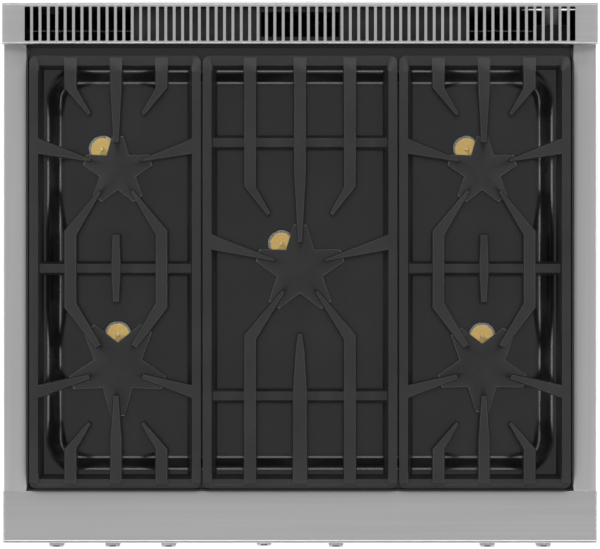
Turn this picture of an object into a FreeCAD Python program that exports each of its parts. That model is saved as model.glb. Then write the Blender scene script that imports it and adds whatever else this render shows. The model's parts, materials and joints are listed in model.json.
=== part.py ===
"""Freestanding gas range: five burners, three cast grates, a convection oven below.

Millimetres. +X is the user's right, +Y the back of the range, +Z up.
The origin is on the floor, under the middle of the range's outline.
"""
import FreeCAD, Part
import math
import os

# ---------------------------------------------------------------- driving sizes
width = 760.0              # across the front bullnose and the rear vent trim
depth = 699.4              # back of the range to the tips of the knobs
cooktop_height = 914.0     # floor to the ledges beside the tray
sheet = 2.0                # outer sheet steel
panel_inset = 1.0          # side panels stand this far inside the bullnose ends
run_clear = 0.05           # radial clearance of a shaft in its hole
loose = 0.3                # clearance between parts that only lie together

# rear vent trim
trim_rise = 27.0
trim_depth = 53.0
trim_edge_r = 3.0
trim_front_wall = 3.0
slot_pitch = 10.70
slot_w = 7.2
slot_len = 44.0
slot_end_margin = 28.6
slot_from_back = 5.0
slot_corner_r = 1.5

# bullnose and side ledges
bullnose_depth = 66.8
bullnose_tall = 45.0
nose_r = 5.0
nose_end_r = 1.5
nose_wall = 4.0                    # behind the rounded front edge
nose_mouth_end = 20.0
ledge_w = 29.0

# spill tray
rim_w = 3.0
shelf_drop = 12.0
well_drop = 16.0
tray_corner_r = 8.0
well_top_side = 25.5
well_top_rear = 32.5
well_top_front = 27.0
well_slope_side = 19.2
well_slope_end = 17.0
well_top_r = 40.0
well_floor_r = 23.0

# burners: x from the middle of the side grate, y from the tray's ends
burner_off_grate = 2.65
finger_off_burner = 1.5
burner_from_rear = 161.0
burner_from_front = 157.8
cap_small = (24.5, 44.8, 14.6)     # notch radius, arm length, arm end width
cap_medium = (30.8, 57.4, 16.8)
cap_large = (32.3, 62.5, 18.0)
cap_top = 2.0                      # above the cooktop ledge
cap_side = 6.0
cap_peak = 6.0
base_share = 0.84                  # burner base outline against its cap
neck_r = 20.0
neck_len = 30.0
tray_hole_gap = 0.5
igniter_r = 14.7
igniter_ring = 3.2
igniter_beyond_notch = 9.0
igniter_top = 15.0                 # below the cooktop ledge
electrode_r = 1.6
electrode_len = 9.0
igniter_lip = 1.5
igniter_dish = 3.0
peak_share = 0.3

# grates
grate_top = 22.0                   # above the cooktop ledge
grate_gap = 2.8                    # between neighbouring grates
grate_side_gap = 4.5               # to the tray's side
grate_rear_gap = 14.5
grate_front_gap = 3.8
side_grate_w = 218.7
grate_corner_r = 9.0
rail_w = 10.6                      # frame rail, across its top
rail_foot = 17.5                   # frame rail, across its foot
finger_half = 8.7                  # half of a straight finger's foot
finger_deep = 18.0
draft = 0.9
bevel = 1.1
cross_w = 10.5
cross_foot = 18.0
cross_drop = 13.0
cross_tall = 12.0
end_drop = 7.0                     # how far the rear bar lies below the fingers
front_bar_drop = 3.5
rear_run = 21.4                    # length of the fingers' slope at the rear
front_run = 8.4

# knobs, bezels and valves
knob_reach = 8.6                   # tips in front of the bullnose
mode_knob_short = 1.5
knob_edge_inset = 65.0
knob_pitch = 72.5
centre_knob_x = 46.5
knob_z_below = 108.0
knob_skirt_r = 26.0
knob_body_r = 21.5
body_taper = 2.0
body_from_tip = 14.0
grip_w = 21.0
grip_tip_w = 15.0
grip_len = 44.0
grip_tip_len = 40.0
stem_r = 4.0
push_travel = 3.0
knob_gap = 1.0                     # left behind a pressed knob
stem_room = 2.0
bezel_r = 31.0
bezel_t = 6.0
bezel_edge_r = 2.0
skirt_t = 6.0
grip_edge_r = 2.0
stem_in_grip = 8.0                 # how far the bore's end lies behind the tip
plug_r = 8.0
plug_len = 22.0
valve_half = 14.0
valve_wall = 4.0
valve_behind_panel = 6.0
switch_half_w = 18.0
switch_half_h = 20.0
switch_bore = 25.0
manifold_behind_panel = 36.0
manifold_side = 18.0
gas_tube_r = 4.0
feed_r = 7.0
spark_box = (90.0, 160.0, 34.0)     # x from, x to, height

# front of the body
panel_front_back = 41.8            # nose to the control panel's face
panel_tall = 127.0
door_back_of_nose = 46.8           # nose to the door's face
door_t = 38.0
gasket_t = 3.0
frame_t = 4.0
door_gap_top = 7.0
hinge_above_door = 5.0
hinge_behind = 33.0                # door's face to the hinge line
door_side_gap = 4.0
door_bottom = 125.0
window_w = 420.0
window_h = 250.0
window_above = 175.0
glass_t = 4.0
pin_r = 4.0
arm_t = 8.0
arm_len = 150.0
arm_inset = 50.0
ear_r = 6.0
handle_r = 10.0
handle_half = 340.0
handle_drop = 48.0
handle_front_gap = 2.0
post_inset = 32.0

post_thinner = 1.0
arm_foot_w = 8.0
arm_foot_h = 60.0
pin_room_side = 6.0
pin_room_front = 12.0
pin_room_up = 45.0
liner_window_inset = (20.0, 15.0)
glass_overlap = 14.0
receiver_half = 12.0
receiver_len = 40.0
receiver_plate = (20.0, 3.0, 16.0, 30.0)   # half width, thickness, below and above the pin

# legs, base and kick
leg_h = 105.0
foot_r = 22.0
foot_t = 12.0
leg_r = 10.0
leg_inset = 48.0
leg_front = 75.0
leg_rear = 45.0
boss_r = 16.0
boss_h = 45.0
kick_back = 39.0
kick_floor_gap = 22.0
kick_flange = 16.0
pan_lip = 15.0
nut_r = 15.0
nut_t = 12.0
nut_gap = 2.0

# rear panel and gas inlet
gas_window_r = 40.0
gland_r = 12.0
gland_flange_r = 18.0
gland_depth = 6.0
cord_r = 6.0
screw_r = 5.0
screw_rows = 5
screw_inset = 12.0
screw_end = 40.0
gas_from_side = 50.0
gas_nipple_r = 10.65
gas_nipple_len = 22.0
regulator_r = 24.0
regulator_len = 34.0
dome_r = 16.0

# oven
oven_w = 600.0
oven_h = 448.0
oven_d = 480.0
oven_wall = 2.0
oven_above_door_foot = 77.0
oven_below_door_top = 60.0
side_air = 10.0
rear_air = 115.0
insul_t = 30.0
insul_rear_t = 26.0
floor_lift = 36.0
baffle_gap = 28.0
fan_r = 78.0
fan_hub_r = 14.0
motor_r = 32.0
motor_len = 52.0
motor_room = 14.0
fan_above_middle = 4.0
fan_blades = 10
fan_disc_t = 1.5
fan_clear = 7.0
blade_deep = 11.5
blade_t = 1.6
shaft_hole_r = 6.0
baffle_half = 240.0
baffle_below = 42.0
baffle_above = 34.0
baffle_post_r = 6.0
baffle_post_inset = (15.0, 18.0)
grille_hole_r = 5.0
grille_rings = ((18.0, 6), (38.0, 12), (58.0, 18))
rack_wire = 3.5
rack_bar = 2.0
rack_bars = 13
guide_wire = 3.0
guide_levels = 5
guide_step = 72.0
guide_from_wall = 9.0
guide_end = 30.0
guide_lift = 34.0
rack_front_gap = 20.0
rack_rear_gap = 12.0
rack_on = (1, 3)
flue_w = 100.0
flue_tall = 34.0
flue_below_roof = 4.0
flue_deep = 36.0
flue_from_back = 4.0
hood_half = 213.0
hood_reach = 6.0
hood_below_shelf = 6.0
gasket_outer = 18.0
gasket_inner = 4.0
bake_r = 9.0
bake_lift = 18.0
broil_r = 7.0
broil_drop = 20.0
broil_half = 150.0
bake_from_mouth = 60.0
broil_from_mouth = 90.0
lamp_r = 26.0
lamp_t = 6.0
lens_r = (14.0, 22.0)
lens_t = 12.0
lamp_from_side = 90.0
lamp_from_back = 130.0

# ---------------------------------------------------------------- derived places
back = depth / 2
nose = -depth / 2 + knob_reach
tray_front = nose + bullnose_depth
tray_back = back - trim_depth
side_x = width / 2 - panel_inset
inner_x = side_x - sheet
tray_x = side_x - ledge_w
rear_in = back - 2 * sheet
top = cooktop_height
shelf_z = top - shelf_drop
well_z = shelf_z - well_drop
panel_face = nose + panel_front_back
panel_top = top - bullnose_tall
panel_foot = panel_top - panel_tall
knob_z = top - knob_z_below
door_face = nose + door_back_of_nose
door_back = door_face + door_t
frame_face = door_back + gasket_t
frame_back = frame_face + frame_t
door_top = panel_foot - door_gap_top
door_x = inner_x - door_side_gap / 2
hinge_y = door_face + hinge_behind
hinge_z = door_bottom + hinge_above_door
oven_z0 = door_bottom + oven_above_door_foot
oven_z1 = min(oven_z0 + oven_h, door_top - oven_below_door_top)
oven_x = min(oven_w / 2, inner_x - insul_t - oven_wall - side_air)
oven_back = min(frame_back + oven_d, rear_in - rear_air)
side_grate_outer = tray_x - grate_side_gap
side_grate_inner = side_grate_outer - side_grate_w
burner_x = (side_grate_outer + side_grate_inner) / 2 - burner_off_grate
rear_y = tray_back - burner_from_rear
front_y = tray_front + burner_from_front
mid_y = (rear_y + front_y) / 2
manifold_y = panel_face + sheet + manifold_behind_panel
knob_xs = [-(width / 2 - knob_edge_inset) + i * knob_pitch for i in range(3)]
knob_xs += [-centre_knob_x, centre_knob_x]
knob_xs += [width / 2 - knob_edge_inset - knob_pitch, width / 2 - knob_edge_inset]
burner_knobs = (0, 1, 2, 5, 6)
# burner: x, y, cap sizes, first arm's bearing, igniter's bearing
burners = {
    "rear_left": (-burner_x, rear_y, cap_small, 90, 126),
    "rear_right": (burner_x, rear_y, cap_small, 90, 126),
    "centre": (0.0, mid_y, cap_medium, 90, 126),
    "front_left": (-burner_x, front_y, cap_large, 270, 90),
    "front_right": (burner_x, front_y, cap_medium, 270, 90),
}
Z = FreeCAD.Vector(0, 0, 1)
Y = FreeCAD.Vector(0, 1, 0)
X = FreeCAD.Vector(1, 0, 0)
parts = {}


# ---------------------------------------------------------------- helpers
def box(x0, x1, y0, y1, z0, z1):
    """A block between two corners."""
    return Part.makeBox(x1 - x0, y1 - y0, z1 - z0, FreeCAD.Vector(x0, y0, z0))


def rod(x, y, z, r, length, axis):
    """A cylinder that starts at a point and runs along an axis."""
    return Part.makeCylinder(r, length, FreeCAD.Vector(x, y, z), axis)


def fuse(shapes):
    """One solid from touching or crossing solids."""
    first = shapes[0]
    if len(shapes) == 1:
        return first
    return first.multiFuse(shapes[1:]).removeSplitter()


def cut(shape, tools):
    """The shape without the tools."""
    return shape.cut(Part.makeCompound(tools))


def group(shapes):
    """Separate solids kept in one sub-part."""
    return Part.makeCompound(shapes)


def mirror_x(shape):
    """The shape on the other side of the range."""
    return shape.mirror(FreeCAD.Vector(0, 0, 0), X)


def outline(points, z):
    """A closed wire through plan points at a height."""
    corners = [FreeCAD.Vector(px, py, z) for px, py in points]
    return Part.makePolygon(corners + corners[:1])


def inset(points, distance):
    """Plan points moved inwards from a counter-clockwise outline."""
    result = []
    for i, (px, py) in enumerate(points):
        ax, ay = points[i - 1]
        bx, by = points[(i + 1) % len(points)]
        a_len = math.hypot(px - ax, py - ay)
        b_len = math.hypot(bx - px, by - py)
        n1 = (-(py - ay) / a_len, (px - ax) / a_len)
        n2 = (-(by - py) / b_len, (bx - px) / b_len)
        share = distance / (1 + n1[0] * n2[0] + n1[1] * n2[1])
        result.append((px + (n1[0] + n2[0]) * share, py + (n1[1] + n2[1]) * share))
    return result


def counter_clockwise(points):
    """The same outline, turned so that its inside is on the left."""
    area = sum(a[0] * b[1] - b[0] * a[1] for a, b in zip(points, points[1:] + points[:1]))
    return list(points) if area > 0 else list(points)[::-1]


def cast_bar(points, z0, z1):
    """A cast bar: drafted sides and bevelled top edges over a plan outline."""
    foot = counter_clockwise(points)
    shoulder = inset(foot, draft)
    crown = inset(foot, draft + bevel)
    wires = [outline(foot, z0), outline(shoulder, z1 - bevel), outline(crown, z1)]
    return Part.makeLoft(wires, True, True)


def rounded(x0, x1, y0, y1, r, z):
    """A rounded rectangle wire at a height."""
    edges = []
    corners = ((x1 - r, y1 - r, 0), (x0 + r, y1 - r, 90), (x0 + r, y0 + r, 180), (x1 - r, y0 + r, 270))
    arcs = []
    for cx, cy, start in corners:
        turn = [math.radians(start + step) for step in (0, 45, 90)]
        arcs.append([FreeCAD.Vector(cx + r * math.cos(t), cy + r * math.sin(t), z) for t in turn])
    for i, points in enumerate(arcs):
        edges.append(Part.Arc(*points).toShape())
        edges.append(Part.LineSegment(points[2], arcs[(i + 1) % 4][0]).toShape())
    return Part.Wire(edges)


def slab(wire, tall):
    """A wire's face, raised."""
    return Part.Face(wire).extrude(FreeCAD.Vector(0, 0, tall))


def side_profile(points, x0, x1):
    """A Y-Z outline drawn out along X."""
    corners = [FreeCAD.Vector(x0, py, pz) for py, pz in points]
    face = Part.Face(Part.makePolygon(corners + corners[:1]))
    return face.extrude(FreeCAD.Vector(x1 - x0, 0, 0))


def star(sizes, bearing, share):
    """Plan points of a five-armed cap: blunt arms and sharp notches."""
    notch, arm, end_w = [size * share for size in sizes]
    points = []
    for k in range(5):
        a = math.radians(bearing + 72 * k)
        for side in (-1, 1):
            across = side * end_w / 2
            points.append((arm * math.cos(a) - across * math.sin(a),
                           arm * math.sin(a) + across * math.cos(a)))
        b = a + math.radians(36)
        points.append((notch * math.cos(b), notch * math.sin(b)))
    return points


def moved(points, x, y):
    """Plan points shifted to a place."""
    return [(px + x, py + y) for px, py in points]


# ---------------------------------------------------------------- outer shells
def make_side_panels():
    """Side sheets with the ledges beside the tray as their top returns."""
    step = [(frame_back, leg_h), (rear_in + sheet, leg_h), (rear_in + sheet, top),
            (tray_front, top), (tray_front, panel_foot), (frame_back, panel_foot)]
    sheet_solid = side_profile(step, inner_x, side_x)
    ledge = box(tray_x, side_x, tray_front, tray_back, top - sheet, top)
    right = fuse([sheet_solid, ledge])
    parts["side_panel_right"] = right
    parts["side_panel_left"] = mirror_x(right)


def make_rear_panel():
    """Back sheet with a recess window for the gas inlet and the cord gland."""
    panel = box(-inner_x, inner_x, rear_in, rear_in + sheet, leg_h + sheet, top + trim_rise - sheet)
    window = rod(gas_x, rear_in - 1, knob_z, gas_window_r, sheet + 2, Y)
    gland_hole = rod(-gas_x, rear_in - 1, knob_z, gland_r, sheet + 2, Y)
    parts["rear_panel"] = cut(panel, [window, gland_hole])
    gland_y = rear_in - gland_depth
    ring = rod(-gas_x, gland_y, knob_z, gland_r, gland_depth + sheet, Y)
    flange = rod(-gas_x, gland_y, knob_z, gland_flange_r, gland_depth, Y)
    cord_way = rod(-gas_x, gland_y - 1, knob_z, cord_r, gland_depth + sheet + 2, Y)
    parts["power_cord_gland"] = cut(fuse([ring, flange]), [cord_way])
    heads = []
    for side in (-1, 1):
        for k in range(screw_rows):
            z = leg_h + screw_end + k * (top - leg_h - 2 * screw_end) / (screw_rows - 1)
            heads.append(rod(side * (inner_x - screw_inset), rear_in + sheet, z, screw_r, sheet, Y))
    parts["rear_screws"] = group(heads)


def make_base_pan():
    """Floor pan with side lips and four threaded leg bosses."""
    pan = box(-inner_x, inner_x, frame_face, rear_in, leg_h, leg_h + sheet)
    lips = [box(s * inner_x - (sheet if s > 0 else 0), s * inner_x + (0 if s > 0 else sheet),
                frame_back, rear_in, leg_h, leg_h + pan_lip) for s in (-1, 1)]
    bosses = [rod(x, y, leg_h, boss_r, boss_h, Z) for x, y in leg_places]
    bores = [rod(x, y, leg_h - 1, leg_r + run_clear, boss_h + 2, Z) for x, y in leg_places]
    parts["base_pan"] = cut(fuse([pan] + lips + bosses), bores)


def make_legs():
    """Screwed legs with broad feet."""
    names = ("leg_front_left", "leg_front_right", "leg_rear_left", "leg_rear_right")
    for name, (x, y) in zip(names, leg_places):
        stem = rod(x, y, foot_t, leg_r, leg_h + boss_h - foot_t, Z)
        turns = [math.radians(60 * k) for k in range(6)]
        nut = outline([(x + nut_r * math.cos(t), y + nut_r * math.sin(t)) for t in turns],
                      leg_h - nut_gap - nut_t)
        parts[name] = fuse([rod(x, y, 0, foot_r, foot_t, Z), stem, slab(nut, nut_t)])


def make_toe_kick():
    """Recessed kick plate below the door."""
    y = frame_face + kick_back
    plate = box(-inner_x, inner_x, y, y + sheet, kick_floor_gap, leg_h)
    flange = box(-inner_x, inner_x, y, y + kick_flange, leg_h - sheet, leg_h)
    parts["toe_kick"] = fuse([plate, flange])


def make_front_frame():
    """Front face of the chassis, with the oven's mouth in it."""
    frame = box(-inner_x, inner_x, frame_face, frame_back, leg_h + sheet, panel_foot)
    mouth = box(-oven_x, oven_x, frame_face - 1, frame_back + 1, oven_z0, oven_z1)
    slots = [box(s * arm_x - arm_t, s * arm_x + arm_t, frame_face - 1, frame_back + 1,
                 hinge_z - receiver_half, hinge_z + receiver_half) for s in (-1, 1)]
    parts["front_frame"] = cut(frame, [mouth] + slots)


def make_bullnose():
    """Front bullnose: a folded shell with a round front edge and soft ends."""
    x = width / 2
    outer = box(-x, x, nose, tray_front, panel_top, top)
    long_edges = [e for e in outer.Edges
                  if abs(e.CenterOfMass.y - nose) < 0.1 and abs(e.CenterOfMass.x) < 0.1]
    outer = outer.makeFillet(nose_r, long_edges)
    ends = [e for e in outer.Edges
            if abs(abs(e.CenterOfMass.x) - x) < 0.1 and abs(e.CenterOfMass.y - nose) < 0.1]
    outer = outer.makeFillet(nose_end_r, ends)
    hollow = box(-x + sheet, x - sheet, nose + nose_wall, tray_front - sheet, panel_top + sheet, top - sheet)
    mouth = box(-x + nose_mouth_end, x - nose_mouth_end, panel_face + sheet, tray_front - sheet,
                panel_top - 1, panel_top + sheet)
    parts["front_bullnose"] = cut(outer, [fuse([hollow, mouth])])


def make_vent_trim():
    """Rear vent trim: a shallow hood with a row of slots over the flue."""
    x = width / 2
    z1 = top + trim_rise
    hood = box(-x, x, tray_back, back, shelf_z, z1)
    edges = [e for e in hood.Edges
             if abs(e.CenterOfMass.z - z1) < 0.1 and abs(e.CenterOfMass.x) < 0.1]
    hood = hood.makeFillet(trim_edge_r, edges)
    hollow = box(-x + sheet, x - sheet, tray_back + trim_front_wall, back - sheet, shelf_z - 1, z1 - sheet)
    side_notches = [box(min(s * x, s * inner_x), max(s * x, s * inner_x), tray_back - 1, back + 1,
                        shelf_z - 1, top) for s in (-1, 1)]
    count = int((width - 2 * slot_end_margin + slot_pitch - slot_w) / slot_pitch)
    first = -(count - 1) * slot_pitch / 2
    slots = []
    for i in range(count):
        sx = first + i * slot_pitch
        y1 = back - slot_from_back
        wire = rounded(sx - slot_w / 2, sx + slot_w / 2, y1 - slot_len, y1, slot_corner_r, z1 - sheet - 1)
        slots.append(slab(wire, sheet + 2))
    parts["rear_vent_trim"] = cut(hood, [hollow] + side_notches + slots)


# ---------------------------------------------------------------- cooktop
def make_tray():
    """Spill tray: rim, level shelf for the grates and one shared well."""
    rim = rounded(-tray_x, tray_x, tray_front, tray_back, tray_corner_r, shelf_z - sheet)
    plate = slab(rim, shelf_drop + sheet)
    inside = slab(rounded(-tray_x + rim_w, tray_x - rim_w, tray_front + rim_w, tray_back - rim_w,
                          tray_corner_r - rim_w, shelf_z), shelf_drop + 1)
    x_top = tray_x - well_top_side
    x_low = x_top - well_slope_side
    y_top = (tray_front + well_top_front, tray_back - well_top_rear)
    y_low = (y_top[0] + well_slope_end, y_top[1] - well_slope_end)
    t = sheet
    outer = Part.makeLoft([
        rounded(-x_top - t, x_top + t, y_top[0] - t, y_top[1] + t, well_top_r + t, shelf_z),
        rounded(-x_low - t, x_low + t, y_low[0] - t, y_low[1] + t, well_floor_r + t, well_z - t)],
        True, True)
    inner = Part.makeLoft([
        rounded(-x_top, x_top, y_top[0], y_top[1], well_top_r, shelf_z),
        rounded(-x_low, x_low, y_low[0], y_low[1], well_floor_r, well_z)], True, True)
    holes = [rod(x, y, well_z - sheet - 1, neck_r + tray_hole_gap, sheet + 2, Z)
             for x, y, cap, arm, spark in burners.values()]
    parts["spill_tray"] = cut(fuse([plate.cut(inside), outer]), [inner] + holes)


def make_burners():
    """Burner bases, igniters and star caps."""
    caps = {"burner_caps_rear": [], "burner_caps_front_and_centre": []}
    cap_foot = top + cap_top - cap_side - cap_peak
    bases = []
    igniters = []
    for x, y, cap, arm, spark in burners.values():
        foot = moved(star(cap, arm, base_share), x, y)
        body = slab(outline(foot, well_z), cap_foot - well_z)
        neck = rod(x, y, well_z - neck_len, neck_r, neck_len, Z)
        a = math.radians(spark)
        reach = cap[0] + igniter_beyond_notch
        ix = x + reach * math.cos(a)
        iy = y + reach * math.sin(a)
        room = rod(ix, iy, well_z - 1, igniter_r + igniter_ring + loose, cap_foot - well_z + 2, Z)
        bases.append(cut(fuse([body, neck]), [room]))
        tall = top - igniter_top - well_z
        ring = rod(ix, iy, well_z, igniter_r + igniter_ring, tall + igniter_lip, Z)
        dish = rod(ix, iy, well_z + tall, igniter_r, igniter_dish, Z)
        pin = rod(ix, iy, well_z + tall - 1, electrode_r, electrode_len, Z)
        igniters.append(fuse([cut(ring, [dish]), pin]))
        low = moved(star(cap, arm, 1.0), x, y)
        high = moved(star(cap, arm, peak_share), x, y)
        skirt = slab(outline(low, cap_foot), cap_side)
        peak = Part.makeLoft([outline(low, cap_foot + cap_side),
                              outline(high, cap_foot + cap_side + cap_peak)], True, True)
        row = "burner_caps_rear" if cap == cap_small else "burner_caps_front_and_centre"
        caps[row].append(fuse([skirt, peak]))
    parts["burner_bases"] = group(bases)
    parts["burner_igniters"] = group(igniters)
    for row, solids in caps.items():
        parts[row] = group(solids)


def grate_frame(x0, x1):
    """Perimeter rails of a grate, standing on the tray's shelf."""
    y0 = tray_front + grate_front_gap
    y1 = tray_back - grate_rear_gap
    z1 = top + grate_top
    r = grate_corner_r
    outer = slab(rounded(x0, x1, y0, y1, r, shelf_z), z1 - shelf_z)
    foot = [(x0 + rail_foot, y0 + rail_foot), (x1 - rail_foot, y0 + rail_foot),
            (x1 - rail_foot, y1 - rail_foot), (x0 + rail_foot, y1 - rail_foot)]
    crown = [(x0 + rail_w, y0 + rail_w), (x1 - rail_w, y0 + rail_w),
             (x1 - rail_w, y1 - rail_w), (x0 + rail_w, y1 - rail_w)]
    inside = Part.makeLoft([outline(foot, shelf_z - 1), outline(crown, z1 + 1)], True, True)
    rear_bar = box(x0 + rail_w, x1 - rail_w, y1 - rail_foot - 1, y1 + 1, z1 - end_drop, z1 + 1)
    front_bar = box(x0 + rail_w, x1 - rail_w, y0 - 1, y0 + rail_foot + 1, z1 - front_bar_drop, z1 + 1)
    return cut(outer, [inside, rear_bar, front_bar])


def slope_cutters(x0, x1):
    """Wedges that slope a grate's rear and front ends down."""
    y0 = tray_front + grate_front_gap
    y1 = tray_back - grate_rear_gap
    z1 = top + grate_top
    low = z1 - end_drop
    rear = side_profile([(y1 - rear_run, z1), (y1 - 1.5, low), (y1 + 1, low),
                         (y1 + 1, z1 + 1), (y1 - rear_run, z1 + 1)], x0 - 1, x1 + 1)
    front = side_profile([(y0 + front_run, z1), (y0 + front_run, z1 + 1), (y0 - 1, z1 + 1),
                          (y0 - 1, low), (y0, low)], x0 - 1, x1 + 1)
    return [rear, front]


def cross_bar(x0, x1, y):
    """A low bar between the side rails, wide at its foot."""
    z1 = top + grate_top - cross_drop
    f = cross_foot / 2
    c = cross_w / 2
    foot = [(x0, y - f), (x1, y - f), (x1, y + f), (x0, y + f)]
    crown = [(x0, y - c), (x1, y - c), (x1, y + c), (x0, y + c)]
    return Part.makeLoft([outline(foot, z1 - cross_tall), outline(crown, z1)], True, True)


def finger_solids(outlines, centre_x):
    """Fingers from plan outlines given for one side of a centre line."""
    z1 = top + grate_top
    result = []
    for points, both in outlines:
        result.append(cast_bar(moved(points, centre_x, 0), z1 - finger_deep, z1))
        if both:
            other = [(-px, py) for px, py in points]
            result.append(cast_bar(moved(other, centre_x, 0), z1 - finger_deep, z1))
    return result


def side_grate(x0, x1, finger_x):
    """A grate over two burners, one behind the other."""
    y0 = tray_front + grate_front_gap + 2
    y1 = tray_back - grate_rear_gap - 2
    reach = (x0 + 2 - finger_x, x1 - 2 - finger_x)
    w = finger_half
    off = 58.2
    a = off - w
    b = off + w
    rear = rear_y
    front = front_y
    bent_rear = [(-b, y1), (-b, rear + 105.5), (-35.6, rear + 68.3), (-30.7, rear + 73),
                 (-a, rear + 105.5), (-a, y1)]
    mid_rear = [(-8.4, y1), (-8.4, rear + 105), (-4.6, rear + 34.8), (4.6, rear + 34.8),
                (8.4, rear + 105), (8.4, y1)]
    long_side = [(-22.4, rear - 24), (-b, rear - 76.8), (-b, front + 76.4), (-26.6, front + 24),
                 (-18, front + 29.2), (-a, front + 83), (-a, rear - 83), (-17.6, rear - 27.4)]
    middle_y = (rear + front) / 2 + 1
    short_mid = [(-5.6, middle_y + 44), (-7.2, middle_y), (-4.8, middle_y - 44),
                 (4.8, middle_y - 44), (7.2, middle_y), (5.6, middle_y + 44)]
    bent_front = [(-b, y0), (-b, front - 103.6), (-35.6, front - 67.6), (-30.7, front - 71.5),
                  (-a, front - 103.6), (-a, y0)]
    mid_front = [(-8.4, y0), (-8.4, front - 92), (-4.2, front - 34.6), (4.2, front - 34.6),
                 (8.4, front - 92), (8.4, y0)]
    outlines = [(bent_rear, True), (mid_rear, False), (long_side, True), (short_mid, False),
                (bent_front, True), (mid_front, False)]
    for edge in reach:
        s = -1 if edge < 0 else 1
        outlines.append(([(edge, rear + 45.6), (s * 31.7, rear + 15.2), (s * 32.3, rear + 10.1),
                          (edge, rear + 21.6)], False))
        outlines.append(([(edge, front - 23), (s * 34.2, front - 6.9), (s * 32, front - 14.7),
                          (edge, front - 43)], False))
    cross = cross_bar(x0 + 2, x1 - 2, middle_y)
    solid = fuse([grate_frame(x0, x1), cross] + finger_solids(outlines, finger_x))
    return cut(solid, slope_cutters(x0, x1))


def centre_grate(x0, x1):
    """The middle grate, over one large burner."""
    y0 = tray_front + grate_front_gap + 2
    y1 = tray_back - grate_rear_gap - 2
    w = finger_half
    off = 63.8
    a = off - w
    b = off + w
    mid = mid_y
    rear = [(-b, y1), (-b, mid + 105.3), (-42.1, mid + 67), (-36.4, mid + 71.5),
            (-a, mid + 105.3), (-a, y1)]
    mid_rear = [(-8.7, y1), (-8.7, mid + 120), (-3.8, mid + 33.2), (3.8, mid + 33.2),
                (8.7, mid + 120), (8.7, y1)]
    side = [(x0 + 2, mid + 49), (-31.1, mid + 13.6), (-31.9, mid + 8.9), (x0 + 2, mid + 25.4)]
    low = [(-23.1, mid - 25.7), (-b, mid - 83.6), (-b, y0), (-a, y0), (-a, mid - 90),
           (-17.9, mid - 29.4)]
    mid_front = [(-10.1, y0), (-10.1, mid - 156), (-6.8, mid - 102.8), (-3.6, mid - 81.1),
                 (3.6, mid - 81.1), (6.8, mid - 102.8), (10.1, mid - 156), (10.1, y0)]
    outlines = [(rear, True), (mid_rear, False), (side, True), (low, True), (mid_front, False)]
    bars = [grate_frame(x0, x1)]
    for y in (mid + 162, mid - 162):
        bars.append(cross_bar(x0 + 2, x1 - 2, y))
    solid = fuse(bars + finger_solids(outlines, 0.0))
    return cut(solid, slope_cutters(x0, x1))


def make_grates():
    """Three grates side by side; the side ones are a mirrored pair."""
    left = side_grate(-side_grate_outer, -side_grate_inner, -burner_x - finger_off_burner)
    parts["grate_left"] = left
    parts["grate_right"] = mirror_x(left)
    half = side_grate_inner - grate_gap
    parts["grate_centre"] = centre_grate(-half, half)


# ---------------------------------------------------------------- controls
def make_control_panel():
    """Control panel: folded sheet with seven stem holes."""
    face = box(-side_x, side_x, panel_face, panel_face + sheet, panel_foot, panel_top)
    lip = box(-inner_x, inner_x, panel_face, frame_face, panel_foot, panel_foot + sheet)
    ends = [box(min(s * side_x, s * inner_x), max(s * side_x, s * inner_x), panel_face, tray_front,
                panel_foot, panel_top) for s in (-1, 1)]
    holes = [rod(x, panel_face - 1, knob_z, stem_r + stem_room, sheet + 2, Y) for x in knob_xs]
    parts["control_panel"] = cut(fuse([face, lip] + ends), holes)
    bezels = []
    for x in knob_xs:
        ring = rod(x, panel_face - bezel_t, knob_z, bezel_r, bezel_t, Y)
        front_rim = [e for e in ring.Edges if abs(e.CenterOfMass.y - panel_face + bezel_t) < 0.1]
        ring = ring.makeFillet(bezel_edge_r, front_rim)
        hole = rod(x, panel_face - bezel_t - 1, knob_z, stem_r + stem_room / 2, bezel_t + 2, Y)
        bezels.append(cut(ring, [hole]))
    parts["knob_bezels"] = group(bezels)


def knob_solid(x, tip, with_bore):
    """A knob: skirt, tapered body and a grip bar that stands upright when off."""
    rear = panel_face - bezel_t - push_travel - knob_gap
    skirt = rod(x, rear - skirt_t, knob_z, knob_skirt_r, skirt_t, Y)
    body = Part.makeCone(knob_body_r - body_taper, knob_body_r, rear - skirt_t - tip - body_from_tip,
                         FreeCAD.Vector(x, tip + body_from_tip, knob_z), Y)
    ends = []
    for y, w, tall in ((rear - 2, grip_w, grip_len), (tip, grip_tip_w, grip_tip_len)):
        corners = [FreeCAD.Vector(x + sx * w / 2, y, knob_z + sz * tall / 2)
                   for sx, sz in ((-1, -1), (1, -1), (1, 1), (-1, 1), (-1, -1))]
        ends.append(Part.makePolygon(corners))
    grip = Part.makeLoft(ends, True, True)
    front_edges = [e for e in grip.Edges if abs(e.CenterOfMass.y - tip) < 0.1]
    grip = grip.makeFillet(grip_edge_r, front_edges)
    solid = fuse([skirt, body, grip])
    if not with_bore:
        return solid
    return cut(solid, [rod(x, tip + stem_in_grip, knob_z, stem_r + run_clear, rear - tip, Y)])


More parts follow.
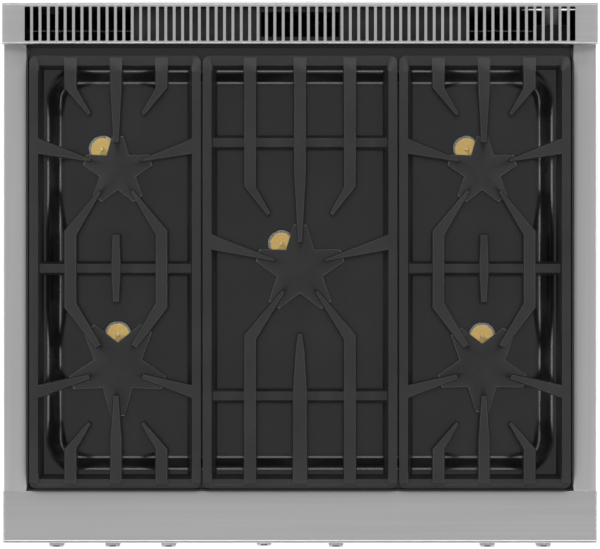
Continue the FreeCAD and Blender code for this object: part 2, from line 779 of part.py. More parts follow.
def make_knobs():
    """Burner knobs on valve plugs, oven knobs with their own stems."""
    names = ("left_front", "left_rear", "centre", None, None, "right_rear", "right_front")
    tip = -depth / 2
    valve_front = panel_face + sheet + valve_behind_panel
    stem_y = tip + stem_in_grip + push_travel + knob_gap
    plug_y = valve_front + valve_wall
    valves = []
    for i in burner_knobs:
        x = knob_xs[i]
        parts["knob_" + names[i]] = knob_solid(x, tip, True)
        plug = rod(x, plug_y, knob_z, plug_r, plug_len, Y)
        stem = rod(x, stem_y, knob_z, stem_r, plug_y + 1 - stem_y, Y)
        parts["valve_plug_" + names[i]] = fuse([plug, stem])
        body = box(x - valve_half, x + valve_half, valve_front, manifold_y,
                   knob_z - valve_half, knob_z + valve_half)
        bore = rod(x, plug_y - run_clear, knob_z, plug_r + run_clear, plug_len + 2 * run_clear, Y)
        mouth = rod(x, valve_front - 1, knob_z, stem_r + run_clear, valve_wall + 2, Y)
        valves.append(cut(body, [bore, mouth]))
    parts["valve_bodies"] = group(valves)
    switches = []
    for i, name, short in ((3, "knob_oven_mode", mode_knob_short), (4, "knob_oven_temperature", 0.0)):
        x = knob_xs[i]
        solid = knob_solid(x, tip + short, False)
        knob_rear = panel_face - bezel_t - push_travel - knob_gap
        stem = rod(x, knob_rear - 1, knob_z, stem_r, panel_face + switch_bore - 4 - knob_rear, Y)
        parts[name] = fuse([solid, stem])
        block = box(x - switch_half_w, x + switch_half_w, panel_face + sheet, manifold_y - 4,
                    knob_z - switch_half_h, knob_z + switch_half_h)
        bore = rod(x, panel_face + sheet - 1, knob_z, stem_r + run_clear, switch_bore + 1, Y)
        switches.append(cut(block, [bore]))
    spark = box(spark_box[0], spark_box[1], panel_face + sheet, frame_face - 4,
                panel_foot + sheet, panel_foot + sheet + spark_box[2])
    parts["control_electrics"] = group(switches + [spark])


def make_gas_train():
    """Manifold, regulator with its inlet nipple, and a tube to each burner."""
    m = manifold_side / 2
    bar = box(knob_xs[0] - 20, gas_x + m, manifold_y, manifold_y + 2 * m, knob_z - m, knob_z + m)
    feed = rod(gas_x, manifold_y + m, knob_z, feed_r, reg_y - manifold_y - m, Y)
    parts["gas_manifold"] = fuse([bar, feed])
    body = rod(gas_x, reg_y, knob_z, regulator_r, regulator_len, Y)
    dome = rod(gas_x, reg_y + regulator_len / 2, knob_z, dome_r, regulator_len, Z)
    nipple = rod(gas_x, reg_y + regulator_len, knob_z, gas_nipple_r, gas_nipple_len, Y)
    parts["pressure_regulator"] = fuse([body, dome, nipple])
    routes = (("front_left", 0, 10), ("rear_left", 1, 20), ("centre", 2, 10),
              ("rear_right", 5, 20), ("front_right", 6, 10))
    tubes = []
    start_y = manifold_y - valve_half
    for name, knob, below in routes:
        bx, by = burners[name][:2]
        kx = knob_xs[knob]
        foot = well_z - neck_len
        level = foot - below
        path = [(kx, start_y, knob_z + valve_half), (kx, start_y, level), (kx, by, level),
                (bx, by, level), (bx, by, foot)]
        tubes.append(tube(path, gas_tube_r))
    parts["supply_tubes"] = group(tubes)


def tube(path, r):
    """A round tube along straight runs with ball corners."""
    points = [FreeCAD.Vector(*p) for p in path]
    pieces = []
    for a, b in zip(points, points[1:]):
        run = b.sub(a)
        if run.Length > 0.01:
            pieces.append(Part.makeCylinder(r, run.Length, a, run))
    for corner in points[1:-1]:
        pieces.append(Part.makeSphere(r, corner))
    return fuse(pieces)


# ---------------------------------------------------------------- oven
def make_oven():
    """Oven cavity, insulation, floor plate, flue and the gasket round its mouth."""
    w = oven_wall
    shell = box(-oven_x - w, oven_x + w, frame_back, oven_back + w, oven_z0 - w, oven_z1 + w)
    inside = box(-oven_x, oven_x, frame_back - 1, oven_back, oven_z0, oven_z1)
    shaft_hole = rod(0, oven_back - 1, fan_z, shaft_hole_r, w + 2, Y)
    flue_hole = box(-flue_w / 2, flue_w / 2, oven_back - 1, oven_back + w + 1, flue_z0 + w, flue_z1 - w)
    parts["oven_cavity"] = cut(shell, [inside, shaft_hole, flue_hole])
    t = insul_t
    blanket = box(-oven_x - w - t, oven_x + w + t, frame_back, oven_back + w + insul_rear_t,
                  oven_z0 - w - t, oven_z1 + w + t)
    motor_hole = rod(0, oven_back, fan_z, motor_r + motor_room, insul_rear_t + 10, Y)
    flue_room = box(-flue_w / 2 - w, flue_w / 2 + w, oven_back + w - 1, oven_back + 100, flue_z0, flue_z1)
    core = box(-oven_x - w, oven_x + w, frame_back - 1, oven_back + w, oven_z0 - w, oven_z1 + w)
    parts["oven_insulation"] = cut(blanket, [core, motor_hole, flue_room])
    half = flue_w / 2
    duct_back = rear_in - flue_from_back
    duct_y = duct_back - flue_deep
    hood_z = shelf_z - hood_below_shelf
    run = box(-half - w, half + w, oven_back + w, duct_back, flue_z0, flue_z1)
    rise = box(-half - w, half + w, duct_y, duct_back, flue_z0, hood_z)
    collar = box(-hood_half, hood_half, duct_y - hood_reach, rear_in - 1, hood_z - w, hood_z)
    bore = fuse([box(-half, half, oven_back + w - 1, duct_back - w, flue_z0 + w, flue_z1 - w),
                 box(-half, half, duct_y + w, duct_back - w, flue_z0 + w, shelf_z)])
    parts["oven_flue"] = cut(fuse([run, rise, collar]), [bore])
    o = gasket_outer
    i = gasket_inner
    ring = box(-oven_x - o, oven_x + o, door_back, frame_face, oven_z0 - o, oven_z1 + o)
    gap = box(-oven_x - i, oven_x + i, door_back - 1, frame_face + 1, oven_z0 - i, oven_z1 + i)
    parts["door_gasket"] = cut(ring, [gap])
    plate = box(-oven_x + 2, oven_x - 2, frame_back + 2, oven_back - baffle_gap - 4,
                oven_z0, oven_z0 + floor_lift)
    under = box(-oven_x + 4, oven_x - 4, frame_back, oven_back, oven_z0 - 1, oven_z0 + floor_lift - 2)
    parts["oven_floor"] = cut(plate, [under])
    bake_z = oven_z0 + bake_lift
    bake = tube([(0, oven_back, bake_z), (0, frame_back + bake_from_mouth, bake_z)], bake_r)
    broil_z = oven_z1 - broil_drop
    broil_y = frame_back + broil_from_mouth
    broil = tube([(-broil_half, oven_back, broil_z), (-broil_half, broil_y, broil_z),
                  (broil_half, broil_y, broil_z), (broil_half, oven_back, broil_z)], broil_r)
    parts["oven_burners"] = group([bake, broil])
    lamps = []
    for s in (-1, 1):
        x = s * (oven_x - lamp_from_side)
        y = oven_back - lamp_from_back
        holder = rod(x, y, oven_z1 - lamp_t, lamp_r, lamp_t, Z)
        lens = Part.makeCone(lens_r[0], lens_r[1], lens_t, FreeCAD.Vector(x, y, oven_z1 - lamp_t - lens_t))
        lamps.append(fuse([holder, lens]))
    parts["oven_lamps"] = group(lamps)


def make_fan():
    """Convection fan, its motor and the grille plate in front of it."""
    w = oven_wall
    face_y = oven_back - baffle_gap
    low = oven_z0 + baffle_below
    high = oven_z1 - baffle_above
    plate = box(-baffle_half, baffle_half, face_y, face_y + w, low, high)
    post_x = baffle_half - baffle_post_inset[0]
    posts = [rod(sx * post_x, face_y + w, z, baffle_post_r, baffle_gap - w, Y)
             for sx in (-1, 1) for z in (low + baffle_post_inset[1], high - baffle_post_inset[1])]
    holes = []
    for ring_r, count in grille_rings:
        for k in range(count):
            a = 2 * math.pi * k / count
            holes.append(rod(ring_r * math.cos(a), face_y - 1, fan_z + ring_r * math.sin(a),
                             grille_hole_r, w + 2, Y))
    parts["fan_baffle"] = cut(fuse([plate] + posts), holes)
    fan_y = face_y + fan_clear
    disc_y = fan_y + blade_deep - 0.5
    hub = rod(0, fan_y, fan_z, fan_hub_r, disc_y + fan_disc_t + 1.5 - fan_y, Y)
    disc = rod(0, disc_y, fan_z, fan_r, fan_disc_t, Y)
    shaft = rod(0, fan_y + 5, fan_z, stem_r, oven_back + w + motor_len / 2 - fan_y - 5, Y)
    blades = []
    for k in range(fan_blades):
        blade = box(fan_hub_r + 20, fan_r - 2, fan_y, fan_y + blade_deep,
                    fan_z - blade_t / 2, fan_z + blade_t / 2)
        blade.rotate(FreeCAD.Vector(0, 0, fan_z), Y, 360 / fan_blades * k)
        blades.append(blade)
    parts["convection_fan"] = fuse([hub, disc, shaft] + blades)
    flange = rod(0, oven_back + w, fan_z, motor_r + 10, 3, Y)
    can = rod(0, oven_back + w, fan_z, motor_r, motor_len, Y)
    bore = rod(0, oven_back + w - 1, fan_z, stem_r + run_clear, motor_len / 2 + 4, Y)
    parts["fan_motor"] = cut(fuse([flange, can]), [bore])


def make_racks():
    """Ladder guides on the side walls and two wire racks."""
    wire = guide_wire
    rail_x = oven_x - guide_from_wall
    post_x = oven_x - wire
    y0 = frame_back + rack_front_gap
    y1 = oven_back - baffle_gap - rack_rear_gap
    near = y0 + guide_end
    far = y1 - guide_end
    levels = [oven_z0 + floor_lift + guide_lift + k * guide_step for k in range(guide_levels)]
    foot = oven_z0 + floor_lift + 4
    head = levels[-1] + 20
    pieces = [rod(post_x, y, foot, wire, head - foot, Z) for y in (near, far)]
    for z in levels:
        pieces.append(tube([(post_x, near, z), (rail_x, near, z), (rail_x, far, z), (post_x, far, z)], wire))
    right = fuse(pieces)
    parts["rack_guides"] = group([right, mirror_x(right)])
    for name, level in zip(("oven_rack_lower", "oven_rack_upper"), rack_on):
        z = levels[level] + wire + rack_wire + loose
        half = rail_x - 1
        loop = tube([(half, y0, z), (half, y1, z), (-half, y1, z), (-half, y0, z), (half, y0, z)], rack_wire)
        ball = Part.makeSphere(rack_wire, FreeCAD.Vector(half, y0, z))
        wires = []
        for k in range(rack_bars):
            x = -half + (k + 1) * 2 * half / (rack_bars + 1)
            wires.append(rod(x, y0, z, rack_bar, y1 - y0, Y))
        for y in (y0 + (y1 - y0) / 3, y0 + 2 * (y1 - y0) / 3):
            wires.append(rod(12 - half, y, z - rack_bar - 0.5, rack_bar, 2 * (half - 12), X))
        parts[name] = fuse([loop, ball] + wires)


# ---------------------------------------------------------------- door
def make_door():
    """Oven door: folded outer panel, liner, two panes, handle and hinge arms."""
    z0 = door_bottom
    z1 = door_top
    win_z0 = z0 + window_above
    win_z1 = win_z0 + window_h
    win_x = window_w / 2
    liner_face = door_back - sheet
    outer = box(-door_x, door_x, door_face, liner_face, z0, z1)
    hollow = box(-door_x + sheet, door_x - sheet, door_face + sheet, door_back, z0 + sheet, z1 - sheet)
    window = box(-win_x, win_x, door_face - 1, door_face + sheet + 1, win_z0, win_z1)
    room_x = arm_t + pin_room_side
    pin_room = [box(s * arm_x - room_x, s * arm_x + room_x, hinge_y - pin_room_front, door_back,
                    z0 - 1, hinge_z + pin_room_up) for s in (-1, 1)]
    parts["door_outer_panel"] = cut(outer, [hollow, window] + pin_room)
    liner = box(-door_x, door_x, liner_face, door_back, z0, z1)
    in_x, in_z = liner_window_inset
    view = box(-win_x + in_x, win_x - in_x, liner_face - 1, door_back + 1, win_z0 + in_z, win_z1 - in_z)
    parts["door_inner_liner"] = cut(liner, [view] + pin_room)
    over = glass_overlap
    front_pane = box(-win_x - over, win_x + over, door_face + sheet, door_face + sheet + glass_t,
                     win_z0 - over, win_z1 + over)
    rear_pane = box(-win_x - over, win_x + over, liner_face - glass_t, liner_face,
                    win_z0 - over, win_z1 + over)
    parts["door_glass"] = group([front_pane, rear_pane])
    arms = []
    for s in (-1, 1):
        x = s * arm_x
        arm = box(x - arm_t / 2, x + arm_t / 2, hinge_y - 5, hinge_y + 3, hinge_z - 3, hinge_z + arm_len)
        foot_x = arm_t / 2 + arm_foot_w
        foot = box(x - foot_x, x + foot_x, door_face + sheet, hinge_y + 3,
                   hinge_z + arm_len - arm_foot_h, hinge_z + arm_len)
        knuckle = rod(x - arm_t / 2, hinge_y, hinge_z, pin_r + 1, arm_t, X)
        pin = rod(x - arm_t, hinge_y, hinge_z, pin_r, 2 * arm_t, X)
        arms.append(fuse([arm, foot, knuckle, pin]))
    parts["door_hinge_arms"] = group(arms)
    handle_y = -depth / 2 + handle_front_gap + handle_r
    handle_z = z1 - handle_drop
    half = min(handle_half, door_x - 30)
    bar = rod(-half, handle_y, handle_z, handle_r, 2 * half, X)
    post_r = handle_r - post_thinner
    posts = [rod(s * (half - post_inset), handle_y, handle_z, post_r, door_face - handle_y, Y)
             for s in (-1, 1)]
    parts["door_handle"] = fuse([bar] + posts)


def make_hinge_receivers():
    """Hinge receivers bolted in the chassis, with ears for the door's pins."""
    solids = []
    for s in (-1, 1):
        x = s * arm_x
        half = arm_t - loose
        tall = receiver_half - 0.5
        plate_x, plate_t, below, above = receiver_plate
        block = box(x - half, x + half, frame_face + 0.5, frame_back + receiver_len,
                    hinge_z - tall, hinge_z + tall)
        plate = box(x - plate_x, x + plate_x, frame_back, frame_back + plate_t,
                    hinge_z - below, hinge_z + above)
        ears = []
        for side in (-1, 1):
            near = x + side * (arm_t / 2 + loose)
            far = x + side * half
            ears.append(fuse([box(min(near, far), max(near, far), hinge_y, frame_face + 1,
                                  hinge_z - ear_r, hinge_z + ear_r),
                              rod(min(near, far), hinge_y, hinge_z, ear_r, abs(far - near), X)]))
        holes = rod(x - 2 * arm_t, hinge_y, hinge_z, pin_r + run_clear, 4 * arm_t, X)
        solids.append(cut(fuse([block, plate] + ears), [holes]))
    parts["hinge_receivers"] = group(solids)


# ---------------------------------------------------------------- places used by several parts
leg_places = [(sx * (side_x - leg_inset), y) for y in (frame_face + leg_front, rear_in - leg_rear)
              for sx in (-1, 1)]
arm_x = door_x - arm_inset
fan_z = (oven_z0 + oven_z1) / 2 + fan_above_middle
flue_z1 = oven_z1 - flue_below_roof
flue_z0 = flue_z1 - flue_tall
gas_x = inner_x - gas_from_side
reg_y = rear_in + sheet - regulator_len - gas_nipple_len

make_side_panels()
make_rear_panel()
make_base_pan()
make_legs()
make_toe_kick()
make_front_frame()
make_bullnose()
make_vent_trim()
make_tray()
make_burners()
make_grates()
make_control_panel()
make_knobs()
make_gas_train()
make_oven()
make_fan()
make_racks()
make_door()
make_hinge_receivers()

os.makedirs("parts", exist_ok=True)
for name, shape in sorted(parts.items()):
    shape.exportStep("parts/" + name + ".step")
    b = shape.BoundBox
    print("%-24s solids %d valid %s vol %.0f  x %.1f %.1f  y %.1f %.1f  z %.1f %.1f" % (
        name, len(shape.Solids), shape.isValid(), shape.Volume, b.XMin, b.XMax, b.YMin, b.YMax,
        b.ZMin, b.ZMax))
print(len(parts), "sub-parts")
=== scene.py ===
import json
import math

import bpy
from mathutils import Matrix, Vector


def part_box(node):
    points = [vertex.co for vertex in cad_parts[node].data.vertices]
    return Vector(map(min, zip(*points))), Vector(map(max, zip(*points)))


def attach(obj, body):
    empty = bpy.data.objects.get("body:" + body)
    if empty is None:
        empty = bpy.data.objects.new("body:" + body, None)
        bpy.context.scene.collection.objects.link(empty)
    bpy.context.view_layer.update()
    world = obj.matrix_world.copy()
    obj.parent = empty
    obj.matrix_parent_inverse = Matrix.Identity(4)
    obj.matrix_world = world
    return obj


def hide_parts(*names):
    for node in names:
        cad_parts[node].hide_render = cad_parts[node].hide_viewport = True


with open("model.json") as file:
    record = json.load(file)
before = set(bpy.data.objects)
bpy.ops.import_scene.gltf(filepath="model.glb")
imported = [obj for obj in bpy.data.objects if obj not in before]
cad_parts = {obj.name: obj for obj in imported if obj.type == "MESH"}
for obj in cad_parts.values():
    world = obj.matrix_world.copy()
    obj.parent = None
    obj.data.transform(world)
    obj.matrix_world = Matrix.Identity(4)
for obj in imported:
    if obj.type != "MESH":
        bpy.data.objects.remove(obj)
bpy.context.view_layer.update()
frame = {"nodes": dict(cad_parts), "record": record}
nodes = frame["nodes"]

# ------------------------------------------------------------ camera
# A long lens from straight above the cooktop, with the range's front towards
# the bottom of the picture.
cooktop_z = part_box("side_panel_left")[1][2]
camera_rise = 8.0
picture_w = 0.768
camera_data = bpy.data.cameras.new("camera")
camera_data.sensor_width = 36.0
camera_data.lens = camera_data.sensor_width * camera_rise / picture_w
camera_data.clip_end = 50.0
camera = bpy.data.objects.new("camera", camera_data)
bpy.context.scene.collection.objects.link(camera)
camera.location = (0.0, 0.0027, cooktop_z + camera_rise)
bpy.context.scene.camera = camera
bpy.context.scene.view_settings.view_transform = "Standard"

# ------------------------------------------------------------ studio
# A sky that is bright overhead and dim at the horizon, as over a light table,
# and four long soft lights that put thin bright lines on rounded edges.
class Wire:
    """A shader socket that takes part in Python arithmetic."""

    def __init__(self, tree, socket=None):
        self.tree = tree
        self.socket = socket

    def node(self, kind, settings=None, sockets=None, out=0):
        """A new node: its settings first, then the values or links of its sockets."""
        made = self.tree.nodes.new(kind)
        for key, value in (settings or {}).items():
            if key == "stops":
                stops = made.color_ramp.elements
                while len(stops) < len(value):
                    stops.new(0.5)
                for stop, (place, shade) in zip(stops, value):
                    stop.position = place
                    stop.color = (shade, shade, shade, 1.0)
            else:
                setattr(made, key, value)
        for key, value in (sockets or {}).items():
            if isinstance(value, Wire):
                self.tree.links.new(value.socket, made.inputs[key])
            else:
                made.inputs[key].default_value = value
        return Wire(self.tree, made.outputs[out])

    def maths(self, operation, a, b):
        return self.node("ShaderNodeMath", {"operation": operation}, {0: a, 1: b})

    def __add__(self, other):
        return self.maths("ADD", self, other)

    __radd__ = __add__

    def __mul__(self, other):
        return self.maths("MULTIPLY", self, other)

    __rmul__ = __mul__

    def noise(self, scale, detail=2.0, stretch=(1.0, 1.0, 1.0)):
        """Noise on object coordinates, 0 to 1, drawn out along an axis by its stretch."""
        place = self.node("ShaderNodeTexCoord", out=3)
        place = self.node("ShaderNodeMapping", None, {"Vector": place, "Scale": stretch})
        return self.node("ShaderNodeTexNoise", None, {"Vector": place, "Scale": scale, "Detail": detail})

    def blend(self, share, first, second):
        """A colour between two, by a share from 0 to 1."""
        return self.node("ShaderNodeMix", {"data_type": "RGBA"},
                         {"Factor": share, 6: (*first, 1.0), 7: (*second, 1.0)}, out=2)

    def step(self, low, high):
        """0 below low, 1 above high, straight between."""
        return self.node("ShaderNodeMapRange", None, {"Value": self, "From Min": low, "From Max": high})

    def bump(self, height, distance):
        """A normal from a height of 0 to 1 that stands for a distance in metres."""
        return self.node("ShaderNodeBump", None,
                         {"Height": height, "Distance": distance, "Strength": 1.0})


world = bpy.data.worlds.new("studio")
bpy.context.scene.world = world
world.use_nodes = True
sky = Wire(world.node_tree)
aim = sky.node("ShaderNodeTexCoord", out=0)
up = sky.node("ShaderNodeSeparateXYZ", None, {0: aim}, out=2)
sky_stops = ((0.0, 0.26), (0.5, 0.48), (0.75, 0.64), (1.0, 0.92))
glow = sky.node("ShaderNodeValToRGB", {"stops": sky_stops}, {0: up})
world.node_tree.links.new(glow.socket, world.node_tree.nodes["Background"].inputs["Color"])


def lamp(name, place, aim, size, power):
    """A long soft rectangular light that faces a point."""
    data = bpy.data.lights.new(name, "AREA")
    data.shape = "RECTANGLE"
    data.size = size[0]
    data.size_y = size[1]
    data.energy = power
    light = bpy.data.objects.new(name, data)
    bpy.context.scene.collection.objects.link(light)
    light.location = place
    light.rotation_euler = (Vector(aim) - Vector(place)).to_track_quat("-Z", "Y").to_euler()


lamp_reach = 3.0
lamp_z = 3.3
lamp_size = (5.6, 0.6)
for name, side_x, side_y, power in (("left", -1, 0, 80), ("right", 1, 0, 70), ("rear", 0, 1, 70),
                                    ("front", 0, -1, 70)):
    lamp("light_" + name, (side_x * lamp_reach, side_y * lamp_reach, lamp_z), (0.0, 0.0, cooktop_z),
         lamp_size, power)


# ------------------------------------------------------------ side panels
# Brushed stainless sheets, each folded over at the top into the ledge beside
# the tray, and standing on the base pan.
def finish(name):
    """A new material, its Principled shader's sockets and a first wire on its tree."""
    material = bpy.data.materials.new(name)
    material.use_nodes = True
    shader = material.node_tree.nodes["Principled BSDF"]
    return material, shader, Wire(material.node_tree)


def coat(shader, wire, **sockets):
    """Sets or links sockets of a Principled shader; underscores stand for spaces."""
    for key, value in sockets.items():
        socket = shader.inputs[key.replace("_", " ")]
        if isinstance(value, Wire):
            wire.tree.links.new(value.socket, socket)
        else:
            socket.default_value = value


def brushed(name, along, tint, rough=0.30):
    """Brushed steel: fine streaks along the line it was polished in, with slow cloudy changes."""
    stretch = [260.0] * 3
    stretch[along] = 3.0
    cloud = [9.0] * 3
    cloud[along] = 1.5
    material, shader, wire = finish(name)
    streak = wire.noise(1.0, 4.0, stretch)
    smear = wire.noise(1.0, 3.0, [s * 0.25 for s in stretch])
    tone = streak * 0.3 + smear * 0.25 + wire.noise(1.0, 2.0, cloud) * 0.45
    dark = (tint * 0.95,) * 3
    light = (tint * 1.05,) * 3
    coat(shader, wire, Base_Color=wire.blend(tone.step(0.35, 0.65), dark, light), Metallic=1.0,
         Roughness=tone.step(0.2, 0.8) * 0.08 + (rough - 0.04), Normal=wire.bump(streak, 0.00002))
    return material


def mesh_copy(node):
    """A merged, cleaned copy of a CAD node's mesh, as a new selected object."""
    bpy.ops.object.select_all(action="DESELECT")
    piece = bpy.data.objects.new(node + "_skin", nodes[node].data.copy())
    piece.data.materials.clear()
    bpy.context.scene.collection.objects.link(piece)
    piece.select_set(True)
    bpy.context.view_layer.objects.active = piece
    bpy.ops.object.mode_set(mode="EDIT")
    bpy.ops.mesh.select_all(action="SELECT")
    bpy.ops.mesh.remove_doubles(threshold=0.00002)
    bpy.ops.mesh.dissolve_limited(angle_limit=math.radians(0.6))
    bpy.ops.object.mode_set(mode="OBJECT")
    return piece


def smooth(piece, angle=38.0):
    """Shades a piece smooth up to an angle between its faces."""
    bpy.ops.object.select_all(action="DESELECT")
    piece.select_set(True)
    bpy.context.view_layer.objects.active = piece
    bpy.ops.object.shade_smooth_by_angle(angle=math.radians(angle))


def soften(piece, width, segments=2, angle=28.0, edge=-1):
    """Rounds a piece's sharp edges, which may take a material of their own as a painted highlight, and
    shades it smooth.
    """
    bevel = piece.modifiers.new("edges", "BEVEL")
    bevel.width = width
    bevel.segments = segments
    bevel.limit_method = "ANGLE"
    bevel.angle_limit = math.radians(angle)
    bevel.material = edge
    bpy.ops.object.select_all(action="DESELECT")
    piece.select_set(True)
    bpy.context.view_layer.objects.active = piece
    bpy.ops.object.modifier_apply(modifier=bevel.name)
    smooth(piece)


def stand_in(piece, node):
    """Lets a piece stand for a CAD node, on the node's own body."""
    bodies = frame["record"]["behaviour"]["bodies"]
    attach(piece, next(body for body, members in bodies.items() if node in members))
    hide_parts(node)


def skin(node, material, width, segments=2, angle=28.0, edge_highlight=None):
    """A softened copy stands in for a CAD node; its rounded edges may take a lighter material as a painted
    highlight.
    """
    piece = mesh_copy(node)
    piece.data.materials.append(material)
    if edge_highlight:
        piece.data.materials.append(edge_highlight)
    soften(piece, width, segments, angle, 1 if edge_highlight else -1)
    stand_in(piece, node)


steel_y = brushed("stainless_along", 1, 0.41)
for name in ("side_panel_left", "side_panel_right"):
    skin(name, steel_y, 0.0006)

# ------------------------------------------------------------ bullnose, trim and panels
# The same sheet brushed from side to side: the round nose, the slotted hood over
# the flue, the control panel, the door's outer panel and the kick plate.
steel_x = brushed("stainless_across", 0, 0.41)
for name in ("front_bullnose", "rear_vent_trim", "control_panel", "door_outer_panel", "toe_kick"):
    skin(name, steel_x, 0.0006)

# ------------------------------------------------------------ grates
# Three iron castings in matte black enamel, with fine sand texture and edges rounded by the mould; a lighter
# enamel on the rounded edges is a painted highlight.
def bare(name, colour, rough, metallic=0.0, grain=400.0, depth=0.00003, spread=0.15, **extra):
    """A plain finish: colour and gloss vary a little, over a fine grain."""
    material, shader, wire = finish(name)
    fine = wire.noise(grain, 3.0)
    tone = fine * 0.5 + wire.noise(14.0, 3.0) * 0.5
    dark = tuple(c * (1 - spread) for c in colour)
    light = tuple(min(1.0, c * (1 + spread)) for c in colour)
    coat(shader, wire, Base_Color=wire.blend(tone.step(0.3, 0.7), dark, light), Metallic=metallic,
         Roughness=tone.step(0.2, 0.8) * 0.1 + (rough - 0.05), Normal=wire.bump(fine, depth), **extra)
    return material


cast_iron = bare("cast_iron", (0.0135, 0.0135, 0.0137), 0.40, 0.0, 700.0, 0.00005, 0.3,
                 Specular_IOR_Level=0.27)
# A lighter enamel for rounded edges only: a painted highlight along them.
edge_highlight_iron = bare("cast_iron_painted_highlight", (0.050, 0.050, 0.051), 0.34, 0.0, 700.0, 0.00003, 0.35,
                 Specular_IOR_Level=0.55)
for name in ("grate_left", "grate_centre", "grate_right"):
    skin(name, cast_iron, 0.0010, 3, 28.0, edge_highlight_iron)

# ------------------------------------------------------------ burner caps
# Five star castings in the same enamel, smoother than the grates, each lying on its base, with the same
# painted highlight on their rounded edges.
cap_iron = bare("cap_enamel", (0.0135, 0.0135, 0.0137), 0.46, 0.0, 300.0, 0.00004, 0.25,
                Specular_IOR_Level=0.2)
for name in ("burner_caps_rear", "burner_caps_front_and_centre"):
    skin(name, cap_iron, 0.0011, 3, 52.0, edge_highlight_iron)

# ------------------------------------------------------------ spill tray
# One pressing in glossy black enamel: a narrow rim, a level shelf and a well with
# rounded ridges. It lies between the ledges.
def loop_of(half_x, y0, y1, radius, z):
    """A rounded rectangle of edges at a height, as a new object."""
    bpy.ops.object.select_all(action="DESELECT")
    bpy.ops.mesh.primitive_plane_add(size=1.0, location=(0.0, (y0 + y1) / 2, z))
    plane = bpy.context.object
    plane.scale = (2 * half_x, y1 - y0, 1.0)
    bpy.ops.object.transform_apply(location=True, rotation=True, scale=True)
    bpy.ops.object.mode_set(mode="EDIT")
    bpy.ops.mesh.select_all(action="SELECT")
    bpy.ops.mesh.bevel(offset=radius, segments=10, affect="VERTICES")
    bpy.ops.mesh.select_all(action="SELECT")
    bpy.ops.mesh.delete(type="ONLY_FACE")
    bpy.ops.object.mode_set(mode="OBJECT")
    return plane


def choose(piece, test):
    """Selects the vertices that pass a test of their place, in edit mode."""
    bpy.ops.object.mode_set(mode="OBJECT")
    bpy.ops.object.select_all(action="DESELECT")
    piece.select_set(True)
    bpy.context.view_layer.objects.active = piece
    bpy.ops.object.mode_set(mode="EDIT")
    bpy.ops.mesh.select_all(action="DESELECT")
    bpy.ops.mesh.select_mode(type="VERT")
    bpy.ops.object.mode_set(mode="OBJECT")
    for vertex in piece.data.vertices:
        vertex.select = test(vertex.co)
    bpy.ops.object.mode_set(mode="EDIT")
    bpy.ops.mesh.select_mode(type="EDGE")


low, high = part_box("spill_tray")
tx, ty0, ty1, tz0, tz1 = high[0], low[1], high[1], low[2], high[2]
rim = 0.003
shelf = tz1 - 0.012
floor_z = tz0 + 0.002
side, front, rear = 0.0255, 0.027, 0.0325
slope_x, slope_y = 0.0192, 0.017
rim_round, ridge_round = 0.0009, 0.0065
tray_wall = 0.0012
near = 0.0001
rings = [(tx, ty0, ty1, 0.008, shelf - 0.002), (tx, ty0, ty1, 0.008, tz1),
         (tx - rim, ty0 + rim, ty1 - rim, 0.005, tz1), (tx - rim, ty0 + rim, ty1 - rim, 0.005, shelf),
         (tx - side, ty0 + front, ty1 - rear, 0.040, shelf),
         (tx - side - slope_x, ty0 + front + slope_y, ty1 - rear - slope_y, 0.023, floor_z)]
tray = None
for below, above in zip(rings, rings[1:]):
    pair = [loop_of(*below), loop_of(*above)]
    bpy.ops.object.select_all(action="DESELECT")
    for half in pair:
        half.select_set(True)
    bpy.context.view_layer.objects.active = pair[0]
    bpy.ops.object.join()
    bpy.ops.object.mode_set(mode="EDIT")
    bpy.ops.mesh.select_all(action="SELECT")
    bpy.ops.mesh.bridge_edge_loops()
    bpy.ops.object.mode_set(mode="OBJECT")
    if tray:
        tray.select_set(True)
        bpy.context.view_layer.objects.active = tray
        bpy.ops.object.join()
    else:
        tray = pair[0]
choose(tray, lambda co: co.z < floor_z + near)
bpy.ops.mesh.edge_face_add()
bpy.ops.mesh.select_all(action="SELECT")
bpy.ops.mesh.remove_doubles(threshold=0.00005)
bpy.ops.mesh.normals_make_consistent(inside=False)
bpy.ops.object.mode_set(mode="OBJECT")
if min(tray.data.polygons, key=lambda f: f.center.z).normal.z < 0:
    bpy.ops.object.mode_set(mode="EDIT")
    bpy.ops.mesh.select_all(action="SELECT")
    bpy.ops.mesh.flip_normals()
    bpy.ops.object.mode_set(mode="OBJECT")
for test, width, steps in (
        (lambda co: co.z > tz1 - near, rim_round, 3),
        (lambda co: abs(co.z - shelf) < near and abs(co.x) < tx - side + near
         and ty0 + front - near < co.y < ty1 - rear + near, ridge_round, 7),
        (lambda co: co.z < floor_z + near, ridge_round, 7)):
    choose(tray, test)
    bpy.ops.mesh.bevel(offset=width, segments=steps)
bpy.ops.object.mode_set(mode="OBJECT")
wall = tray.modifiers.new("wall", "SOLIDIFY")
wall.thickness = tray_wall
wall.offset = -1.0
bpy.ops.object.modifier_apply(modifier=wall.name)
smooth(tray, 30.0)
tray.name = "spill_tray_pressing"
enamel = bare("black_enamel", (0.006, 0.006, 0.0065), 0.19, 0.0, 90.0, 0.000004, 0.4,
              Specular_IOR_Level=0.38)
tray.data.materials.append(enamel)
stand_in(tray, "spill_tray")

# ------------------------------------------------------------ burner bases
# Cast aluminium under the caps, with a neck through the tray's floor.
aluminium = bare("cast_aluminium", (0.42, 0.42, 0.42), 0.5, 1.0, 700.0, 0.00008, 0.15)
skin("burner_bases", aluminium, 0.0008)

